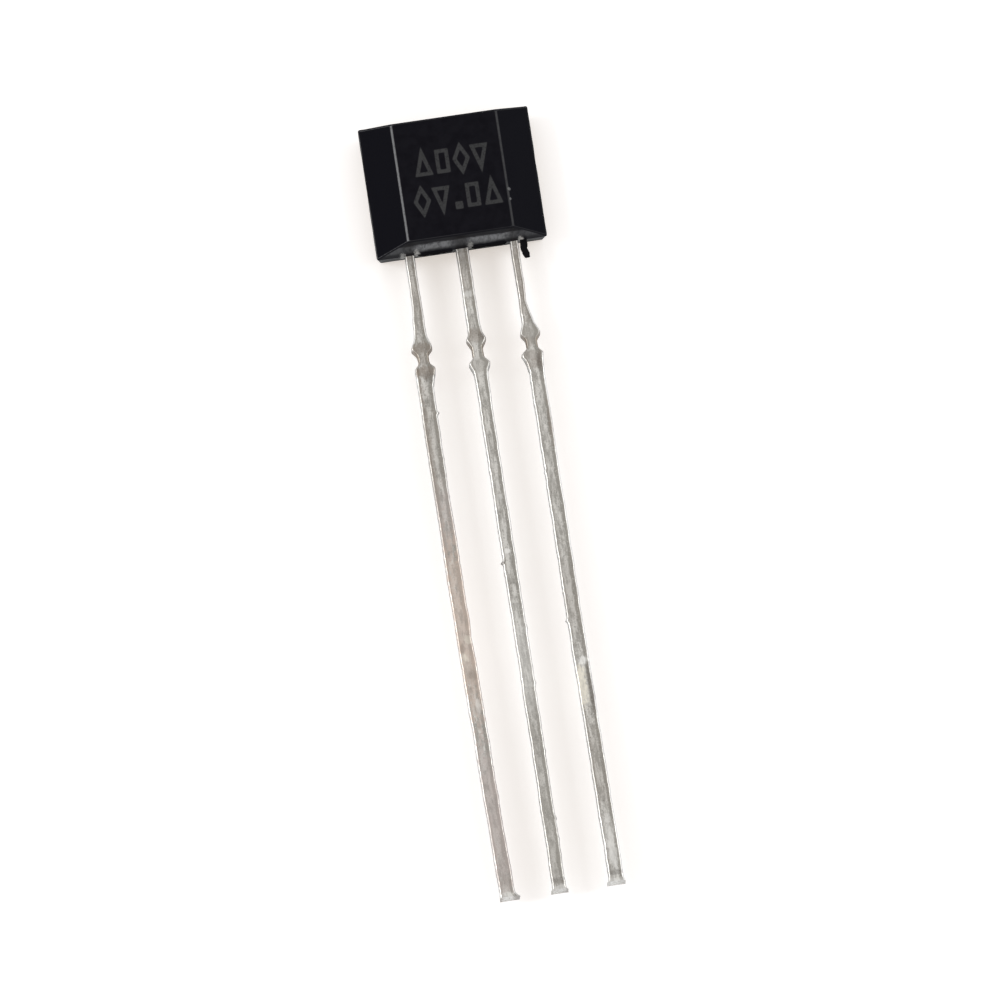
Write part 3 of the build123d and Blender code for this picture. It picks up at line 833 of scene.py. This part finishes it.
# Each lead's place in the row, its outline, its bends, its burrs and dents, and its stains
leads = {
    "supply": (-1, np.array(outer_outlines)[:, [0, 1, 2]],
               [(-3, 0), (2, 0), (4, -0.02), (8, -0.005), (12, 0.05), (15.4, 0.11)],
               [(3.78, 1, 0.06, 0.035), (1.5, -1, 0.03, 0.2), (15.26, 1, 0.03, 0.06),
                (9.3, 1, -0.02, 0.3)],
               [(-1.24, 0.1, 0.14, 0.22, dark_brown, 0.25), (-1.27, 1.0, 0.3, 1.1, brown, 0.30),
                (-1.27, 2.22, 0.3, 0.14, brown, 0.75), (-1.30, 2.5, 0.25, 0.14, brown, 0.45),
                (-1.27, 2.78, 0.3, 0.15, brown, 0.85), (-1.20, 2.95, 0.13, 0.14, dark_brown, 0.35),
                (-1.45, 5.3, 0.08, 2.6, brown, 0.6), (-1.27, 4.3, 0.4, 1.1, brown, 0.18),
                (-1.27, 6.3, 0.4, 0.9, mauve, 0.45), (-1.27, 9.0, 0.4, 2.2, pink, 0.75),
                (-1.24, 9.2, 0.09, 0.11, cream, 0.55), (-1.36, 9.6, 0.08, 0.12, cream, 0.55),
                (-1.39, 9.38, 0.07, 0.13, brown, 0.45), (-1.24, 10.02, 0.10, 0.13, brown, 0.4),
                (-1.22, 10.75, 0.06, 0.2, bright, 0.6), (-1.2, 13.5, 0.4, 2.0, mauve, 0.75),
                (-1.19, 14.9, 0.3, 0.12, brown, 0.20), (-1.19, 15.22, 0.16, 0.09, bright, 0.9)]),
    "ground": (0, np.array(middle_outline), [(-3, -0.01), (3, 0), (15.4, 0)],
               [(7.52, -1, 0.06, 0.035), (9.1, 1, 0.02, 0.05), (10.4, 1, 0.03, 0.04),
                (12.0, 1, 0.02, 0.05), (13.6, 1, 0.03, 0.04), (14.07, 1, 0.02, 0.05),
                (10.6, 1, -0.02, 0.04)],
               [(-0.03, 0.15, 0.14, 0.35, dark_brown, 0.40), (0.0, 0.6, 0.3, 0.7, brown, 0.30),
                (-0.04, 1.1, 0.13, 0.08, bright, 0.9), (0.0, 2.1, 0.3, 0.17, brown, 0.6),
                (0.12, 2.14, 0.08, 0.08, dark_brown, 0.3), (0.0, 2.82, 0.3, 0.2, warm_grey, 0.45),
                (-0.20, 7.52, 0.07, 0.05, dark_brown, 0.9),
                (-0.02, 7.26, 0.07, 0.06, white_tin, 0.8), (-0.02, 5.97, 0.10, 0.08, bright, 0.6),
                (0.0, 9.9, 0.3, 1.2, bright, 0.45), (0.0, 12.5, 0.4, 1.7, warm_grey, 0.4),
                (0.0, 14.4, 0.4, 0.7, warm_grey, 0.45), (0.0, 15.03, 0.3, 0.07, dark_brown, 0.35),
                (0.0, 15.22, 0.3, 0.08, bright, 0.85)]),
    "output": (1, np.array(outer_outlines)[:, [0, 3, 4]], [(-3, 0), (9, 0), (15.4, 0.045)],
               [(1.5, 1, -0.02, 0.3), (2.78, -1, 0.04, 0.06), (5.54, -1, 0.03, 0.04),
                (9.08, -1, 0.055, 0.04)],
               [(1.22, 0.9, 0.3, 1.0, brown, 0.5), (1.27, 2.25, 0.3, 0.22, warm_grey, 0.6),
                (1.26, 2.45, 0.25, 0.12, brown, 0.30), (1.27, 2.75, 0.3, 0.15, brown, 0.45),
                (1.27, 2.97, 0.3, 0.12, brown, 0.5), (1.38, 2.95, 0.07, 0.25, dark_brown, 0.45),
                (1.42, 4.4, 0.06, 0.5, brown, 0.5), (1.27, 8.4, 0.4, 1.0, brown, 0.22),
                (1.24, 10.6, 0.11, 0.50, cream, 1.0), (1.31, 10.05, 0.11, 0.11, white_tin, 1.0),
                (1.42, 10.7, 0.07, 0.6, dark_brown, 0.5), (1.30, 12.5, 0.4, 1.1, brown, 0.25),
                (1.33, 14.4, 0.10, 0.7, bright, 0.8), (1.33, 15.05, 0.3, 0.06, dark_brown, 0.40),
                (1.33, 15.26, 0.3, 0.08, bright, 0.65)]),
}
for seed, (role, (side, outline, bends, bumps, stains)) in enumerate(leads.items(), 31):
    hole_y = None if role == "ground" else lock_hole_y
    lead, marks = lead_shell(outline, side, bends, bumps, seed, hole_y)
    piece = make_piece(role + "_lead", [lead], **marks)
    cover(piece, tinned("tin plating, " + role, stains))
    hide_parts("lead_" + role)
    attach(piece, "root")

# ---- Chip, its glue and the bond wires ----
# Inside the body, a square silicon chip stands on the die pad in a thin layer of silver-filled
# epoxy. Three fine gold wires were welded to it by heat and ultrasound, each with a ball on the
# chip and a flat stitch on the lead frame.

silver, tree, shader, where = new_material("silver epoxy")
flakes = add("TexVoronoi", {"Vector": where, "Scale": 60.0}).outputs["Distance"]
grain = applied(fine_grain, {"Place": where, "Size": 0.02})
glint = spread(flakes, 0.15, 0.5, 1.0, 0.0)
colour = tint(glint, (0.34, 0.33, 0.31, 1), (0.62, 0.61, 0.58, 1))
roughness = spread(grain["Tone"], 0.3, 0.7, 0.45, 0.65)
finish(shader, colour, roughness, grain["Height"], 0.5, 0.004)
tree.links.new(spread(glint, 0.0, 1.0, 0.0, 0.8), shader.inputs["Metallic"])

# The chip's upper face shows blocks of fine lines, and its sides the saw's streaks
silicon, tree, shader, where = new_material("silicon, passivated")
cells = add("TexVoronoi", {"Vector": stretched(where, 9, 9, 9), "Scale": 1.0, "Randomness": 0.6},
            distance="CHEBYCHEV", voronoi_dimensions="2D")
lines = add("TexBrick", {"Vector": where, "Scale": 24.0, "Color1": (0.10, 0.10, 0.16, 1),
                         "Color2": (0.17, 0.14, 0.20, 1), "Mortar": (0.36, 0.34, 0.30, 1),
                         "Mortar Size": 0.06})
circuit = spread(cells.outputs["Distance"], 0.28, 0.34)
circuit = tint(circuit, lines.outputs["Color"], (0.09, 0.10, 0.15, 1))
sawn = cloud(stretched(where, 8, 8, 160), 1.0)
sawn = tint(sawn, (0.09, 0.09, 0.10, 1), (0.20, 0.20, 0.22, 1))
upward = spread(facing(tree)[2], 0.6, 0.9)
roughness = spread(upward, 0.0, 1.0, 0.55, 0.16)
finish(shader, tint(upward, sawn, circuit), roughness, lines.outputs["Fac"], 0.4, 0.002)
shader.inputs["Metallic"].default_value = 0.3

gold, tree, shader, where = new_material("gold wire")
drawing = cloud(stretched(where, 90, 90, 90), 1.0, 3.0)
colour = tint(drawing, (0.86, 0.60, 0.24, 1), (0.98, 0.76, 0.38, 1))
finish(shader, colour, spread(drawing, 0.3, 0.7, 0.16, 0.30), drawing, 0.3, 0.001)
shader.inputs["Metallic"].default_value = 1.0

inner_materials = {"die_attach": silver, "sensor_die": silicon, "bond_wire_supply": gold,
                   "bond_wire_ground": gold, "bond_wire_output": gold}
for node, material in inner_materials.items():
    cover(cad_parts[node], material)

# ---- Floor, lamps and camera ----
# A plain white sheet on a table, one soft lamp on each side, an even grey sky, and a long lens
# looking down from the leads' end.

floor_half = 3.0  # metres
floor_mesh = bpy.data.meshes.new("floor")
corners = [(x * floor_half, y * floor_half, 0) for x, y in ((-1, -1), (1, -1), (1, 1), (-1, 1))]
floor_mesh.from_pydata(corners, [], [(0, 1, 2, 3)])
floor = bpy.data.objects.new("floor", floor_mesh)
bpy.context.scene.collection.objects.link(floor)
white, tree, shader, where = new_material("white sheet")
paper = cloud(where, 1.3, 3.0)
paper = tint(paper, (0.715, 0.755, 0.81, 1), (0.735, 0.775, 0.83, 1))
tree.links.new(paper, shader.inputs["Base Color"])
shader.inputs["Roughness"].default_value = 0.9
shader.inputs["Specular IOR Level"].default_value = 0.0

# It looks whiter than its own colour to the camera and in what mirrors it, and keeps its shadows
ray = add("LightPath", {}, tree)
seen = ray.outputs["Is Camera Ray"]
mirrored = times(ray.outputs["Is Glossy Ray"], 0.26)
tree.links.new(times_plus(seen, 0.49, mirrored), shader.inputs["Emission Strength"])
glow = tint(seen, (1, 0.955, 0.885, 1), (1, 0.88, 0.76, 1))
tree.links.new(glow, shader.inputs["Emission Color"])
cover(floor, white)

sky = bpy.data.worlds.new("sky")
sky.use_nodes = True
background = sky.node_tree.nodes["Background"]
background.inputs["Color"].default_value = (0.99, 0.995, 1.0, 1)
background.inputs["Strength"].default_value = 0.74
bpy.context.scene.world = sky

middle = (Vector(cad_box[0]) + Vector(cad_box[1])) / 2


def aimed(thing, place):
    """A lamp or the camera at a place, turned towards the middle of the part."""
    thing.location = place
    thing.rotation_mode = "QUATERNION"
    thing.rotation_quaternion = (middle - Vector(place)).to_track_quat("-Z", "Y")
    bpy.context.scene.collection.objects.link(thing)


for name, place, size, watts in (("left lamp", (-0.20, 0.02, 0.20), 0.09, 0.18),
                                 ("right lamp", (0.20, 0.0, 0.20), 0.09, 0.12)):
    lamp = bpy.data.lights.new(name, "AREA")
    lamp.size = size
    lamp.energy = watts
    lamp.color = (1.0, 0.985, 0.96)
    aimed(bpy.data.objects.new(name, lamp), place)

azimuth, elevation = math.radians(-8.5), math.radians(79.0)
camera_distance, seen_width = 0.185, 0.0232
camera = bpy.data.cameras.new("camera")
camera.sensor_width = 36.0
camera.lens = camera.sensor_width * camera_distance / seen_width
camera.clip_start, camera.clip_end = 0.005, 10.0
level = math.cos(elevation)
back = Vector((math.sin(azimuth) * level, -math.cos(azimuth) * level, math.sin(elevation)))
view = bpy.data.objects.new("camera", camera)
aimed(view, middle + back * camera_distance)
bpy.context.scene.camera = view
bpy.context.scene.view_settings.view_transform = "Standard"
